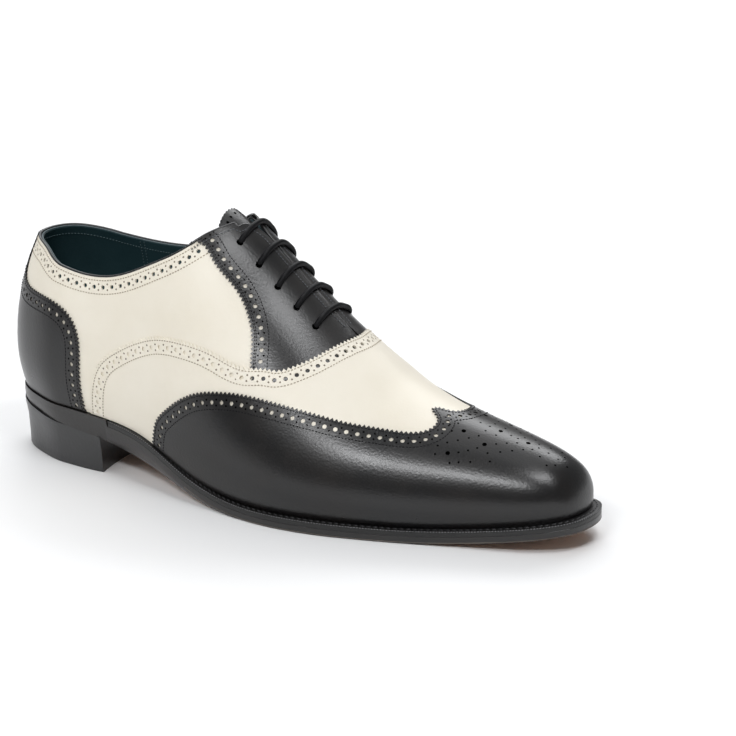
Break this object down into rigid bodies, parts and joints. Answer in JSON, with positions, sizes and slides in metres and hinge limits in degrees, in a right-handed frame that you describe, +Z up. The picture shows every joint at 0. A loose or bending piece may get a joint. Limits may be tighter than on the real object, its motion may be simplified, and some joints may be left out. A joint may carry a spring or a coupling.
{
  "type": "brogue",
  "caption": "Right-foot wingtip brogue with a closed-laced upper, perforated overlays, stitched welt, thin leather sole and a low stacked heel, standing empty on its sole",
  "frame": {"origin": "on the floor under the middle of the heel's tread", "axes": "+X from heel to toe, +Y to the inner side, +Z up"},
  "size_m": [0.2991, 0.1007, 0.1242],
  "materials": {
    "cream_calf": "smooth satin",
    "black_calf": "polished, fine grain",
    "welt": "waxed, stitched",
    "sole_edge": "burnished",
    "heel": "burnished satin",
    "insole": "matt",
    "lining": "matt",
    "lace": "waxed cord"
  },
  "bodies": {
    "root": {"upper": "cream_calf", "wing_cap": "black_calf", "heel_counter": "black_calf", "facing_outer": "black_calf", "facing_inner": "black_calf", "tongue": "black_calf", "insole": "insole", "welt": "welt", "outsole": "sole_edge", "heel": "heel", "lace_bar_1": "lace", "lace_bar_2": "lace", "lace_bar_3": "lace", "lace_bar_4": "lace", "lace_bar_5": "lace"}
  },
  "joints": []
}
